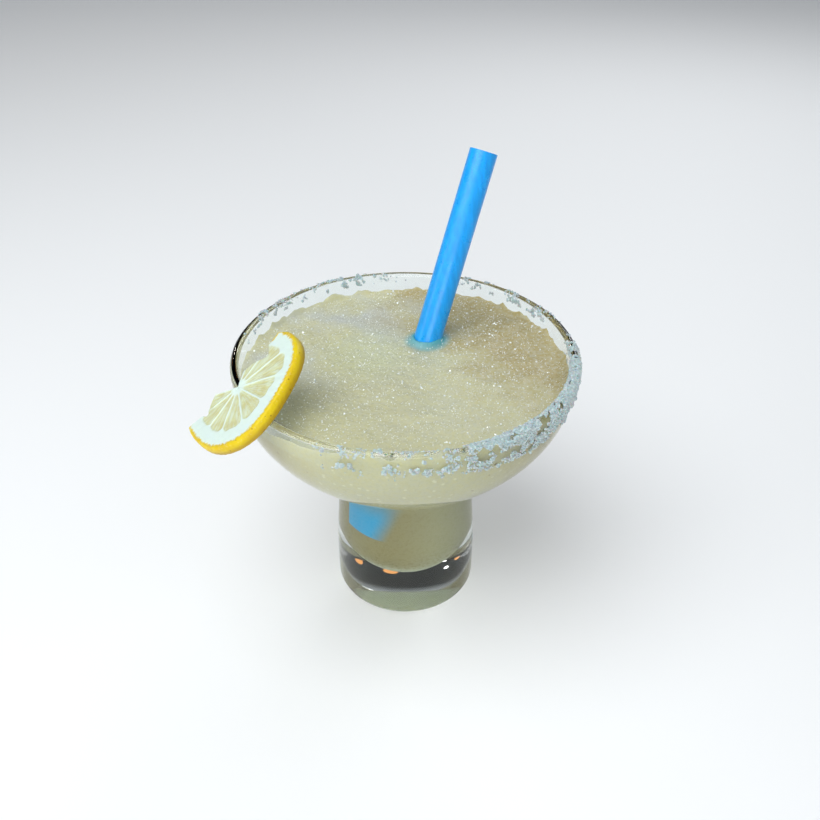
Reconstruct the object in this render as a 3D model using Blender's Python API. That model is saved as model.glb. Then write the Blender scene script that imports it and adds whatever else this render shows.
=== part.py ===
"""A frozen margarita in a stemless glass, with a salted rim, a fat straw and a lemon slice.

Metres, +Z up. The origin is the centre of the underside of the glass, and -Y is the front.
"""

import math
import random

import bmesh
import bpy
from mathutils import Matrix, Vector

MM = 0.001
FIT_GAP = 0.3 * MM

# The glass: a thick foot that narrows to a neck, under a wide open bowl
GLASS_HEIGHT = 99.0 * MM
RIM_RADIUS = 57.0 * MM
RIM_WALL = 2.8 * MM
FOOT_RADIUS = 25.6 * MM
FOOT_EDGE_RADIUS = 3.0 * MM
FOOT_STRAIGHT_HEIGHT = 15.0 * MM
NECK_RADIUS = 22.8 * MM
NECK_HEIGHT = 52.2 * MM
BOWL_FULLNESS = 2.36
WELL_RADIUS = 17.2 * MM
WELL_FLOOR = 10.3 * MM
INNER_NECK_HEIGHT = 54.0 * MM
NECK_BLEND = 1.6 * MM
TURNING_STEPS = 64

# The frozen drink, whose top is a little uneven
DRINK_LEVEL = 92.0 * MM
DRINK_WAVE = 0.35 * MM
DRINK_MOUND = 0.5 * MM
DRINK_TURNING_STEPS = 48

# The straw leans to the right and back, through a point of the drink's surface
STRAW_RADIUS = 4.75 * MM
STRAW_WALL = 0.45 * MM
STRAW_ENTRY = Vector((7.6, 17.0, 92.0)) * MM
STRAW_LEAN = Vector((0.309, 0.361, 1.0))
STRAW_TOP_HEIGHT = 151.8 * MM
STRAW_FOOT_HEIGHT = 31.6 * MM
STRAW_SIDES = 28

# The lemon slice sits on the rim at the left, a little over half a wheel
SLICE_HUB = Vector((-51.15, -23.5, 99.8)) * MM
SLICE_FACE = Vector((-0.606, -0.176, 0.776))
SLIT_ALONG = Vector((0.383, -0.919, 0.091))
SLICE_RADIUS = 22.6 * MM
SLICE_THICKNESS = 4.0 * MM
SLICE_START = -104.0
SLICE_STEP = 6.0
SLICE_STEPS = 35
SEGMENT_STEPS = 5
TORN_STEPS = 5
FLESH_DEPTH = 0.3 * MM
FLESH_SHARE = 0.74

# Salt crystals: how many, how big, and where round the rim they lie
SALT_SEED = 7
SALT_GRAINS = 108
SALT_LARGEST = 1.55 * MM
SALT_SMALLEST = 0.75 * MM


def clear_scene():
    """Remove every object that the scene starts with."""
    for item in list(bpy.data.objects):
        bpy.data.objects.remove(item, do_unlink=True)


def make_material(name, colour, roughness, metallic=0.0, transmission=0.0, ior=1.45):
    """Return a plain Principled material."""
    material = bpy.data.materials.new(name)
    material.use_nodes = True
    shader = material.node_tree.nodes["Principled BSDF"]
    shader.inputs["Base Color"].default_value = (*colour, 1.0)
    shader.inputs["Roughness"].default_value = roughness
    shader.inputs["Metallic"].default_value = metallic
    shader.inputs["Transmission Weight"].default_value = transmission
    shader.inputs["IOR"].default_value = ior
    material.diffuse_color = (*colour, 1.0)
    return material


def new_object(name, shape, material=None):
    """Turn a bmesh into a named object with its faces pointing out."""
    bmesh.ops.recalc_face_normals(shape, faces=shape.faces)
    mesh = bpy.data.meshes.new(name)
    shape.to_mesh(mesh)
    shape.free()
    piece = bpy.data.objects.new(name, mesh)
    bpy.context.scene.collection.objects.link(piece)
    if material is not None:
        mesh.materials.append(material)
    return piece


def shade_round(piece, angle=40.0):
    """Shade a piece smooth, keeping the edges that are sharper than the angle."""
    piece.data.shade_smooth()
    piece.data.set_sharp_from_angle(angle=math.radians(angle))


def turn(profile, steps):
    """Spin a profile of (radius, height) points about +Z into a closed shape."""
    shape = bmesh.new()
    points = [shape.verts.new((radius, 0.0, height)) for radius, height in profile]
    edges = [shape.edges.new(pair) for pair in zip(points, points[1:])]
    if profile[0][0] > 0.0:
        edges.append(shape.edges.new((points[-1], points[0])))
    bmesh.ops.spin(
        shape,
        geom=points + edges,
        cent=(0.0, 0.0, 0.0),
        axis=(0.0, 0.0, 1.0),
        angle=2.0 * math.pi,
        steps=steps,
        use_merge=True,
    )
    bmesh.ops.remove_doubles(shape, verts=shape.verts, dist=0.001 * MM)
    bmesh.ops.dissolve_degenerate(shape, edges=shape.edges, dist=0.001 * MM)
    return shape


def arc(centre, radius, start, end, steps):
    """Return points of (radius, height) along an arc, with angles in degrees."""
    points = []
    for step in range(steps + 1):
        angle = math.radians(start + (end - start) * step / steps)
        points.append((centre[0] + radius * math.cos(angle), centre[1] + radius * math.sin(angle)))
    return points


def soft_larger(first, second, blend):
    """Return the larger of two radii, with a rounded change from one to the other."""
    return 0.5 * (first + second + math.sqrt((first - second) ** 2 + blend**2))


def bowl_curve(height, bottom, narrow, wide):
    """Return the radius of a bowl that opens from narrow at bottom to wide at the rim."""
    share = (height - bottom) / (GLASS_HEIGHT - bottom)
    return narrow + (wide - narrow) * (1.0 - (1.0 - min(share, 1.0)) ** BOWL_FULLNESS)


def outer_radius(height):
    """Return the outer radius of the glass at a height."""
    share = (height - FOOT_STRAIGHT_HEIGHT) / (NECK_HEIGHT - FOOT_STRAIGHT_HEIGHT)
    narrowing = min(max(share, 0.0), 1.0) ** 1.5
    foot = FOOT_RADIUS + (NECK_RADIUS - FOOT_RADIUS) * narrowing
    bowl = bowl_curve(height, NECK_HEIGHT, NECK_RADIUS, RIM_RADIUS)
    return soft_larger(foot, bowl, NECK_BLEND)


def inner_radius(height):
    """Return the inner radius of the glass above the round end of its well."""
    bowl = bowl_curve(height, INNER_NECK_HEIGHT, WELL_RADIUS, RIM_RADIUS - RIM_WALL)
    return soft_larger(WELL_RADIUS, bowl, NECK_BLEND)


def spaced(low, high, steps):
    """Return evenly spaced heights from low to high, both included."""
    return [low + (high - low) * step / steps for step in range(steps + 1)]


def bowl_heights(neck, top):
    """Return heights up the glass, close together where the neck bends."""
    return spaced(neck - 3.0 * MM, neck + 3.0 * MM, 3) + spaced(neck + 7.0 * MM, top, 6)


def inner_profile(offset, top):
    """Return the inner wall from the well's floor to a height, moved in by an offset."""
    well_centre = WELL_FLOOR + WELL_RADIUS
    floor = arc((0.0, well_centre), WELL_RADIUS - offset, -90.0, -8.0, 5)
    floor[0] = (0.0, WELL_FLOOR + offset)
    wall = []
    for height in bowl_heights(INNER_NECK_HEIGHT, top):
        slope = (inner_radius(height + 0.1 * MM) - inner_radius(height - 0.1 * MM)) / (0.2 * MM)
        sideways = offset * math.sqrt(1.0 + slope**2)
        wall.append((inner_radius(height) - sideways, height))
    return floor + wall


def glass_profile():
    """Return the section of the glass, from its underside out, over the lip and in."""
    flat = [(0.0, 0.0), (FOOT_RADIUS - FOOT_EDGE_RADIUS, 0.0)]
    edge = arc((FOOT_RADIUS - FOOT_EDGE_RADIUS, FOOT_EDGE_RADIUS), FOOT_EDGE_RADIUS, -60.0, 0.0, 3)
    foot_top = NECK_HEIGHT - 9.0 * MM
    foot = [(outer_radius(height), height) for height in spaced(FOOT_STRAIGHT_HEIGHT, foot_top, 3)]
    shoulder = GLASS_HEIGHT - 1.6 * MM
    bowl = [(outer_radius(height), height) for height in bowl_heights(NECK_HEIGHT, shoulder)]
    lip_centre = (RIM_RADIUS - 0.5 * RIM_WALL, GLASS_HEIGHT - 0.5 * RIM_WALL)
    lip = arc(lip_centre, 0.5 * RIM_WALL, 20.0, 160.0, 4)
    inside = inner_profile(0.0, shoulder)
    return flat + edge + foot + bowl + lip + inside[::-1]


def bump(angle, centre, width):
    """Return a smooth bump of height 1 at an angle in degrees, round a full turn."""
    away = (angle - centre + 180.0) % 360.0 - 180.0
    return math.exp(-((away / width) ** 2))


def salt_amount(angle):
    """Return how thickly the salt lies at an angle round the rim, from 0 to 1."""
    crust = bump(angle, -28.0, 30.0) + 0.45 * bump(angle, -72.0, 22.0)
    front = 0.4 * bump(angle, -105.0, 16.0)
    back = 0.3 * bump(angle, 45.0, 26.0) + 0.35 * bump(angle, 135.0, 22.0)
    return min(crust + front + back, 1.0)


def near_slice(angle):
    """Tell whether an angle round the rim lies under the lemon slice."""
    return -165.0 < angle < -122.0


def rim_point(across, angle):
    """Return a point on the rim and its outward direction.

    across runs from -1, low on the inner wall, over the lip at 0 to 1, low on the outer wall.
    """
    half_wall = 0.5 * RIM_WALL
    turned = Matrix.Rotation(math.radians(angle), 3, "Z")
    if abs(across) < 0.4:
        lean = math.radians(90.0 - across / 0.4 * 80.0)
        out = Vector((math.cos(lean), 0.0, math.sin(lean)))
        middle = Vector((RIM_RADIUS - half_wall, 0.0, GLASS_HEIGHT - half_wall))
        return turned @ (middle + out * half_wall), turned @ out
    drop = (abs(across) - 0.4) / 0.6
    if across < 0.0:
        height = GLASS_HEIGHT - half_wall - drop * 2.2 * MM
        return turned @ Vector((inner_radius(height), 0.0, height)), turned @ Vector((-1.0, 0.0, 0.0))
    height = GLASS_HEIGHT - half_wall - drop * 8.0 * MM
    return turned @ Vector((outer_radius(height), 0.0, height)), turned @ Vector((1.0, 0.0, 0.0))


def add_salt_grain(name, place, out, size, draw):
    """Add one salt crystal, a lumpy ball half sunk in the glass."""
    shape = bmesh.new()
    bmesh.ops.create_icosphere(shape, subdivisions=1, radius=size)
    stretch = Vector((draw.uniform(0.75, 1.2), draw.uniform(0.75, 1.2), draw.uniform(0.7, 1.0)))
    for vert in shape.verts:
        lump = draw.uniform(0.82, 1.12)
        vert.co = Vector((vert.co.x * stretch.x, vert.co.y * stretch.y, vert.co.z * stretch.z)) * lump
    spin = Matrix.Rotation(draw.uniform(0.0, 2.0 * math.pi), 4, "Z")
    tilt = Matrix.Rotation(draw.uniform(-0.6, 0.6), 4, "X")
    bmesh.ops.transform(shape, matrix=spin @ tilt, verts=shape.verts)
    bmesh.ops.translate(shape, vec=place + out * (0.15 * size), verts=shape.verts)
    return new_object(name, shape)


def make_salt():
    """Scatter the salt round the rim, largest grains first, and return its collection."""
    draw = random.Random(SALT_SEED)
    grains = bpy.data.collections.new("salt grains")
    bpy.context.scene.collection.children.link(grains)
    placed = []
    while len(placed) < SALT_GRAINS:
        angle = draw.uniform(-180.0, 180.0)
        if near_slice(angle) or draw.random() > salt_amount(angle):
            continue
        crusty = bump(angle, -28.0, 34.0)
        across = draw.uniform(-0.55, 0.45 + 0.55 * crusty)
        if bump(angle, 90.0, 62.0) > 0.2:
            across = draw.uniform(-0.9, 0.3)
        share = len(placed) / SALT_GRAINS
        size = SALT_LARGEST + (SALT_SMALLEST - SALT_LARGEST) * share**0.7
        place, out = rim_point(across, angle)
        if any((place - other).length < 0.55 * (size + reach) for other, reach in placed):
            continue
        grain = add_salt_grain("grain", place, out, size, draw)
        bpy.context.scene.collection.objects.unlink(grain)
        grains.objects.link(grain)
        placed.append((place, size))
    return grains


def apply_modifiers(piece):
    """Replace a piece's mesh by what its modifiers make of it."""
    bpy.context.view_layer.update()
    view = bpy.context.evaluated_depsgraph_get()
    mesh = bpy.data.meshes.new_from_object(piece.evaluated_get(view))
    old = piece.data
    piece.modifiers.clear()
    piece.data = mesh
    bpy.data.meshes.remove(old)


def make_glass():
    """Make the glass, with the salt crystals fused to its rim."""
    clear_glass = make_material("clear glass", (0.9, 0.95, 0.93), 0.05, transmission=1.0)
    glass = new_object("glass", turn(glass_profile(), TURNING_STEPS), clear_glass)
    grains = make_salt()
    union = glass.modifiers.new("salt", "BOOLEAN")
    union.operation = "UNION"
    union.operand_type = "COLLECTION"
    union.collection = grains
    union.solver = "MANIFOLD"
    apply_modifiers(glass)
    for grain in list(grains.objects):
        bpy.data.objects.remove(grain, do_unlink=True)
    bpy.data.collections.remove(grains)
    shade_round(glass)
    return glass


def straw_point(height):
    """Return the point of the straw's middle line at a height."""
    return STRAW_ENTRY + STRAW_LEAN * (height - STRAW_ENTRY.z)


def add_leaning_tube(name, outer, inner, low, high, material=None):
    """Add a tube round the straw's middle line between two heights."""
    start = straw_point(low)
    end = straw_point(high)
    length = (end - start).length
    shape = turn([(outer, 0.0), (outer, length), (inner, length), (inner, 0.0)], STRAW_SIDES)
    turned = STRAW_LEAN.to_track_quat("Z", "Y").to_matrix().to_4x4()
    bmesh.ops.transform(shape, matrix=Matrix.Translation(start) @ turned, verts=shape.verts)
    return new_object(name, shape, material)


def make_straw():
    """Make the hollow straw, cut square at both ends."""
    blue = make_material("blue plastic", (0.03, 0.38, 0.91), 0.3)
    inner = STRAW_RADIUS - STRAW_WALL
    straw = add_leaning_tube(
        "straw", STRAW_RADIUS, inner, STRAW_FOOT_HEIGHT, STRAW_TOP_HEIGHT, blue
    )
    shade_round(straw)
    return straw


def drink_lift(x, y):
    """Return how far the drink's top stands above its level at a place."""
    away = math.hypot(x, y) / RIM_RADIUS
    wave = math.sin(95.0 * x + 1.0) * math.cos(120.0 * y) + 0.6 * math.sin(210.0 * (x + y))
    return DRINK_MOUND * (1.0 - away**2) + DRINK_WAVE * wave * (1.0 - away**4)


def add_cutter(name, shape):
    """Add an object that only cuts others."""
    cutter = new_object(name, shape)
    cutter.hide_render = True
    cutter.display_type = "WIRE"
    return cutter


def cut_by(piece, cutter):
    """Cut a piece by a cutter for good, and remove the cutter."""
    cut = piece.modifiers.new(cutter.name, "BOOLEAN")
    cut.operation = "DIFFERENCE"
    cut.object = cutter
    cut.solver = "EXACT"
    apply_modifiers(piece)
    bpy.data.objects.remove(cutter, do_unlink=True)


def make_drink():
    """Make the frozen drink, clear of the glass and cut round the straw's wall."""
    slush = make_material("frozen slush", (0.52, 0.48, 0.27), 0.35)
    wall = inner_profile(FIT_GAP, DRINK_LEVEL)
    edge = wall[-1][0]
    top = [(edge * share, DRINK_LEVEL) for share in (0.92, 0.78, 0.62, 0.46, 0.3, 0.15, 0.0)]
    shape = turn(wall + top, DRINK_TURNING_STEPS)
    for vert in shape.verts:
        if vert.co.z > DRINK_LEVEL - 0.01 * MM and vert.co.xy.length < 0.95 * edge:
            vert.co.z += drink_lift(vert.co.x, vert.co.y)
    drink = new_object("drink", shape, slush)
    groove_foot = STRAW_FOOT_HEIGHT - FIT_GAP
    groove_top = DRINK_LEVEL + 6.0 * MM
    outer = STRAW_RADIUS + FIT_GAP
    inner = STRAW_RADIUS - STRAW_WALL - FIT_GAP
    groove = add_leaning_tube("straw groove", outer, inner, groove_foot, groove_top)
    cut_by(drink, groove)
    shade_round(drink)
    return drink


def slice_axes():
    """Return the slice's directions: across the slit inward, along the slit, out of its face."""
    face = SLICE_FACE.normalized()
    along = (SLIT_ALONG - face * SLIT_ALONG.dot(face)).normalized()
    across = face.cross(along).normalized()
    return across, along, face


def slice_radius(angle):
    """Return the slice's radius at an angle from the slit, a little out of round."""
    swell = 0.088 * bump(angle, 66.0, 26.0) + 0.062 * bump(angle, -12.0, 28.0)
    flat = 0.07 * bump(angle, -78.0, 26.0)
    return SLICE_RADIUS * (1.0 + swell - flat)


def smooth_step(value, low, high):
    """Return 0 below low, 1 above high and a smooth change between."""
    share = min(max((value - low) / (high - low), 0.0), 1.0)
    return share * share * (3.0 - 2.0 * share)


def slice_angle(step, share):
    """Return the angle of a grid line at a share of the radius, ragged along the cut."""
    plain = SLICE_START + SLICE_STEP * step
    low_dent = 4.0 * math.exp(-(((share - 0.64) / 0.06) ** 2))
    start_torn = low_dent - 30.0 * (1.0 - smooth_step(share, 0.47, 0.6))
    tip_dent = 13.0 * math.exp(-(((share - 0.55) / 0.09) ** 2))
    tip_corner = 12.0 * smooth_step(share, 0.9, 1.0)
    end_torn = 36.0 * (1.0 - smooth_step(share, 0.2, 0.5)) - tip_dent - tip_corner
    from_start = max(0.0, 1.0 - step / TORN_STEPS)
    from_end = max(0.0, 1.0 - (SLICE_STEPS - step) / TORN_STEPS)
    return plain + start_torn * from_start + end_torn * from_end


def flesh_relief(step, share):
    """Return how far the flesh lies below the pith at a place on the slice."""
    if not 0.12 < share < FLESH_SHARE:
        return 0.0
    if step % SEGMENT_STEPS == 0:
        return 0.25 * FLESH_DEPTH
    return FLESH_DEPTH


def slice_rings():
    """Return the slice's rings as (share of the radius, depth, whether the flesh shows)."""
    half = 0.5 * SLICE_THICKNESS
    inner_shares = (0.16, 0.34, 0.52, 0.70, 0.79, 0.90)
    face = [(share, 0.0, True) for share in inner_shares]
    rounding = [
        (0.965, 0.12 * half, False),
        (1.0, 0.5 * half, False),
        (1.0, 1.5 * half, False),
        (0.965, 1.88 * half, False),
    ]
    back = [(share, SLICE_THICKNESS, True) for share in inner_shares[::-1]]
    return face + rounding + back


def make_lemon_slice():
    """Make the lemon slice, with a slit that holds the rim of the glass."""
    lemon = make_material("lemon", (0.85, 0.72, 0.12), 0.45)
    across, along, face = slice_axes()
    shape = bmesh.new()
    grid = []
    for share, depth, fleshy in slice_rings():
        ring = []
        for step in range(SLICE_STEPS + 1):
            angle = slice_angle(step, share)
            radius = share * slice_radius(angle)
            relief = flesh_relief(step, share) if fleshy else 0.0
            sunk = depth + (relief if depth < 0.5 * SLICE_THICKNESS else -relief)
            turned = math.radians(angle)
            flat = across * (radius * math.sin(turned)) + along * (radius * math.cos(turned))
            ring.append(shape.verts.new(SLICE_HUB + flat - face * sunk))
        grid.append(ring)
    for ring, further in zip(grid, grid[1:]):
        for step in range(SLICE_STEPS):
            shape.faces.new((ring[step], ring[step + 1], further[step + 1], further[step]))
    front_hub = shape.verts.new(SLICE_HUB)
    back_hub = shape.verts.new(SLICE_HUB - face * SLICE_THICKNESS)
    for step in range(SLICE_STEPS):
        shape.faces.new((front_hub, grid[0][step + 1], grid[0][step]))
        shape.faces.new((back_hub, grid[-1][step], grid[-1][step + 1]))
    for step in (0, SLICE_STEPS):
        pairs = len(grid) // 2
        front = [front_hub] + [grid[index][step] for index in range(pairs)]
        back = [back_hub] + [grid[-1 - index][step] for index in range(pairs)]
        for index in range(pairs):
            corners = (front[index], front[index + 1], back[index + 1], back[index])
            shape.faces.new(corners)
    bmesh.ops.triangulate(shape, faces=shape.faces)
    lemon_slice = new_object("lemon_slice", shape, lemon)
    cut_by(lemon_slice, add_cutter("rim slit", turn(rim_slit_profile(), TURNING_STEPS)))
    shade_round(lemon_slice)
    return lemon_slice


def rim_slit_profile():
    """Return a ring a little larger than the rim of the glass, which cuts the slit."""
    low = GLASS_HEIGHT - 24.0 * MM
    middle = GLASS_HEIGHT - 8.0 * MM
    high = GLASS_HEIGHT - 1.4 * MM
    inside = [(inner_radius(height) - 1.5 * FIT_GAP, height) for height in (low, middle, high)]
    outside = [(outer_radius(height) + 1.5 * FIT_GAP, height) for height in (high, middle, low)]
    lip = [
        (RIM_RADIUS - 0.8 * RIM_WALL, GLASS_HEIGHT + FIT_GAP),
        (RIM_RADIUS - 0.2 * RIM_WALL, GLASS_HEIGHT + FIT_GAP),
    ]
    return inside + lip + outside


def main():
    """Build the margarita."""
    clear_scene()
    make_glass()
    make_drink()
    make_straw()
    make_lemon_slice()


main()
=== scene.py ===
"""Dress a frozen margarita: clear glass, salted rim, slush, straw and lemon slice.

Metres, +Z up, with the origin at the centre of the underside of the glass and -Y the front.
"""

import math
import random

import bpy
import numpy as np
from mathutils import Matrix, Vector, noise


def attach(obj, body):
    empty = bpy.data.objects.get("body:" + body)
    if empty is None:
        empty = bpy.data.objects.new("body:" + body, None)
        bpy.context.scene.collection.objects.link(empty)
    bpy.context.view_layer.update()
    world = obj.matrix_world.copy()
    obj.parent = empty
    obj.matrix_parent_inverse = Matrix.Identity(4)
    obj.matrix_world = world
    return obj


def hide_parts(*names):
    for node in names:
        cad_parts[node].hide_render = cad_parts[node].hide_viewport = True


bl_info = {
    "name": "Frozen margarita",
    "version": (1, 0, 0),
    "blender": (4, 5, 0),
    "location": "3D View > Sidebar > Margarita",
    "description": "Models a frozen margarita with its salted glass, straw and lemon slice",
    "category": "Add Mesh",
}

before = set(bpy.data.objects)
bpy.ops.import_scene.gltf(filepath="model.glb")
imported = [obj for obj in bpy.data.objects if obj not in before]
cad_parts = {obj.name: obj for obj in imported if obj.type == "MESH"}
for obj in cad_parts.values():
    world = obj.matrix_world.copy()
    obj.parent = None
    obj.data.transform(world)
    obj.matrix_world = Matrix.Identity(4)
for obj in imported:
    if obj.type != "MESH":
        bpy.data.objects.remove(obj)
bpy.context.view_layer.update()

MM = 0.001


def tone(red, green, blue):
    """Return the linear colour of screen values from 0 to 255."""
    linear = []
    for value in (red, green, blue):
        share = value / 255.0
        low = share / 12.92
        high = ((share + 0.055) / 1.055) ** 2.4
        linear.append(low if share <= 0.04045 else high)
    return tuple(linear)


def length(name, text, default):
    """Return a length property, with its default in millimetres."""
    default *= MM
    return bpy.props.FloatProperty(name=name, description=text, default=default, unit="LENGTH")


def number(name, text, default):
    """Return a plain number property."""
    return bpy.props.FloatProperty(name=name, description=text, default=default)


def count(name, text, default):
    """Return a whole number property."""
    return bpy.props.IntProperty(name=name, description=text, default=default)


def colour(name, text, default):
    """Return a colour property."""
    return bpy.props.FloatVectorProperty(
        name=name, description=text, default=default, subtype="COLOR", size=3, min=0.0, max=1.0
    )


class GlassSettings(bpy.types.PropertyGroup):
    """Sizes and tint of the glass."""

    height: length("Height", "From the table to the rim", 99.0)
    rim_radius: length("Rim radius", "Outside, at the top", 57.0)
    rim_wall: length("Rim wall", "Thickness of the wall at the rim", 2.8)
    foot_radius: length("Foot radius", "Outside, at the table", 25.6)
    foot_edge: length("Foot edge", "Rounding between foot and underside", 3.0)
    foot_straight: length("Straight foot", "Top of the foot's straight part", 15.0)
    hollow: length("Hollow", "Depth of the underside's hollow", 1.8)
    hollow_radius: length("Hollow radius", "Radius of the underside's hollow", 20.5)
    neck_radius: length("Neck radius", "Outside, where the bowl starts", 22.8)
    neck_height: length("Neck height", "Where the bowl starts, outside", 52.2)
    inner_neck_height: length("Inner neck height", "Where the bowl starts, inside", 54.0)
    neck_blend: length("Neck blend", "Softness of the bend at the neck", 1.6)
    well_radius: length("Well radius", "Inside of the foot", 17.2)
    well_floor: length("Well floor", "Height of the well's round end", 10.3)
    fullness: number("Fullness", "How quickly the bowl opens", 2.36)
    tint: colour("Tint", "Colour of the thick glass", (0.93, 0.975, 0.962))


class SaltSettings(bpy.types.PropertyGroup):
    """The salt on the rim."""

    lumps: count("Lumps", "Lumps of crystals", 100)
    largest: length("Largest lump", "Radius of the largest lump", 0.8)
    smallest: length("Smallest lump", "Radius of the smallest lump", 0.45)
    loose: count("Loose", "Crystals between lumps", 8500)
    tint: colour("Tint", "Colour of the damp salt", tone(195, 208, 209))


class DrinkSettings(bpy.types.PropertyGroup):
    """The frozen drink."""

    level: length("Level", "Height of the drink's edge", 92.0)
    mound: length("Mound", "How far the middle stands above the edge", 0.5)
    wave: length("Wave", "Height of the broad waves on top", 0.35)
    into_wall: length("Into the wall", "Overlap of drink and glass", 0.15)
    residue: length("Residue", "How far slush clings up the wall in places", 2.4)
    flakes: count("Flakes", "Larger ice flakes", 240)
    crystals: count("Ice", "All ice crystals, with the flakes", 5600)
    slush: colour("Slush", "Colour of the slush", tone(197, 194, 154))
    frost: colour("Frost", "Colour of the drier, whiter slush", tone(190, 193, 184))
    deep: colour("Deep", "Colour of the wetter slush at the right", tone(170, 156, 108))
    # Painted shade: the drink in the foot is coloured darker than in the bowl, as it lies in
    # shadow, and lighter towards the right. Painted light: the drink at the well's end is paler,
    # lit from below.
    foot_shading: colour("Melt", "Colour of the drink in the foot, left", tone(138, 131, 86))
    foot_shading_right: colour("Clear melt", "Colour of the drink in the foot, right", tone(168, 168, 132))
    bottom: colour("Bottom", "Colour of the drink at the well's end", tone(186, 194, 164))
    ice: colour("Ice", "Colour of the ice crystals", tone(244, 248, 244))


class StrawSettings(bpy.types.PropertyGroup):
    """The straw."""

    radius: length("Radius", "Outside", 4.75)
    wall: length("Wall", "Thickness of the wall", 0.45)
    foot: length("Foot", "Height of the middle of the lower end", 31.6)
    top: length("Top", "Height of the middle of the upper end", 151.8)
    plastic: colour("Plastic", "Colour of the straw", tone(20, 164, 246))


class LemonSettings(bpy.types.PropertyGroup):
    """The lemon slice."""

    radius: length("Radius", "Mean radius of the slice", 22.6)
    thickness: length("Thickness", "Thickness of the slice", 4.0)
    flesh_depth: length("Flesh depth", "How far the flesh lies below the pith", 0.3)
    zest: colour("Zest", "Colour of the rind", tone(222, 196, 10))
    pith: colour("Pith", "Colour of the pith", tone(214, 230, 222))
    flesh: colour("Flesh", "Colour of the flesh", tone(206, 208, 158))


class StageSettings(bpy.types.PropertyGroup):
    """Floor, lights and camera."""

    floor: colour("Floor", "Colour of the floor", (0.95, 0.95, 0.95))
    key: number("Key", "Power of the key light", 5.6)
    fill: number("Fill", "Power of the fill light", 2.8)
    side: number("Side", "Power of the light at the left", 0.9)
    back: number("Back", "Power of the back light", 1.6)
    lamps: number("Lamps", "Power of small lamps", 0.2)
    sky: number("Sky", "Strength of the sky", 0.5)


# Places that the pieces share

STRAW_ENTRY = Vector((7.6, 17.0, 92.0)) * MM
STRAW_LEAN = Vector((0.309, 0.361, 1.0))
RIM_GUIDE = 57.0 * MM


# Tools for shaping

MERGE_DISTANCE = 1e-6


def deselect_all():
    """Leave edit mode and select nothing."""
    if bpy.context.object is not None and bpy.context.object.mode != "OBJECT":
        bpy.ops.object.mode_set(mode="OBJECT")
    bpy.ops.object.select_all(action="DESELECT")


def make_active(piece):
    """Select one piece alone and make it the active one."""
    deselect_all()
    piece.select_set(True)
    bpy.context.view_layer.objects.active = piece


def start_piece(name):
    """Name the primitive that an operator has just added, and return it."""
    piece = bpy.context.object
    piece.name = name
    piece.data.name = name
    return piece


def edit_all(piece):
    """Enter edit mode on one piece, with all of its mesh selected."""
    make_active(piece)
    bpy.ops.object.mode_set(mode="EDIT")
    bpy.ops.mesh.select_all(action="SELECT")


def leave_edit():
    """Point all faces out and leave edit mode."""
    bpy.ops.mesh.select_all(action="SELECT")
    bpy.ops.mesh.normals_make_consistent(inside=False)
    bpy.ops.object.mode_set(mode="OBJECT")


def tidy_shell(piece):
    """Merge doubles, drop loose edges and point the faces out."""
    edit_all(piece)
    bpy.ops.mesh.remove_doubles(threshold=MERGE_DISTANCE)
    bpy.ops.mesh.delete_loose(use_verts=True, use_edges=True, use_faces=False)
    leave_edit()


def apply_all(piece):
    """Apply every modifier of a piece in order."""
    make_active(piece)
    for modifier in list(piece.modifiers):
        bpy.ops.object.modifier_apply(modifier=modifier.name)


def place_in_mesh(piece, matrix):
    """Move a piece's mesh, and leave its object at the origin."""
    piece.matrix_world = Matrix.Identity(4)
    piece.data.transform(matrix)


def finish_piece(piece, material, slot, *nodes, angle=40.0):
    """Shade a piece, give it its material and tie it to the frame."""
    make_active(piece)
    bpy.ops.object.shade_smooth_by_angle(angle=math.radians(angle))
    piece.data.materials.clear()
    piece.data.materials.append(material)
    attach(piece, "root")
    if nodes:
        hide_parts(*nodes)


def turned(name, section, steps):
    """Spin a closed section of (radius, height) points about the Z axis."""
    deselect_all()
    bpy.ops.mesh.primitive_circle_add(vertices=len(section), radius=RIM_GUIDE)
    piece = start_piece(name)
    for vert, (radius, height) in zip(piece.data.vertices, section):
        vert.co = (radius, 0.0, height)
    edit_all(piece)
    bpy.ops.mesh.spin(
        steps=steps, angle=2.0 * math.pi, center=(0.0, 0.0, 0.0), axis=(0.0, 0.0, 1.0)
    )
    bpy.ops.object.mode_set(mode="OBJECT")
    tidy_shell(piece)
    return piece


def crystal_shape():
    """Return the points and faces of a cube, the plain form of every crystal."""
    deselect_all()
    bpy.ops.mesh.primitive_cube_add(size=1.0)
    cube = start_piece("crystal")
    points = [tuple(vert.co) for vert in cube.data.vertices]
    faces = [tuple(face.vertices) for face in cube.data.polygons]
    bpy.data.objects.remove(cube, do_unlink=True)
    return points, faces


def joined_crystals(name, places):
    """Join many crystals, each moved by a matrix, into one mesh."""
    points, faces = crystal_shape()
    base = np.array(points)
    rows = []
    corners = []
    for index, place in enumerate(places):
        matrix = np.array(place)
        rows.append(base @ matrix[:3, :3].T + matrix[:3, 3])
        first = index * len(base)
        corners.extend(tuple(corner + first for corner in face) for face in faces)
    mesh = bpy.data.meshes.new(name)
    mesh.from_pydata(np.concatenate(rows).tolist(), [], corners)
    piece = bpy.data.objects.new(name, mesh)
    bpy.context.scene.collection.objects.link(piece)
    return piece


def bump(angle, centre, width):
    """Return a smooth bump of height 1 at an angle in degrees, round a full turn."""
    away = (angle - centre + 180.0) % 360.0 - 180.0
    return math.exp(-((away / width) ** 2))


def smooth_step(value, low, high):
    """Return 0 below low, 1 above high and a smooth change between."""
    share = min(max((value - low) / (high - low), 0.0), 1.0)
    return share * share * (3.0 - 2.0 * share)


# Tools for materials

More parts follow.
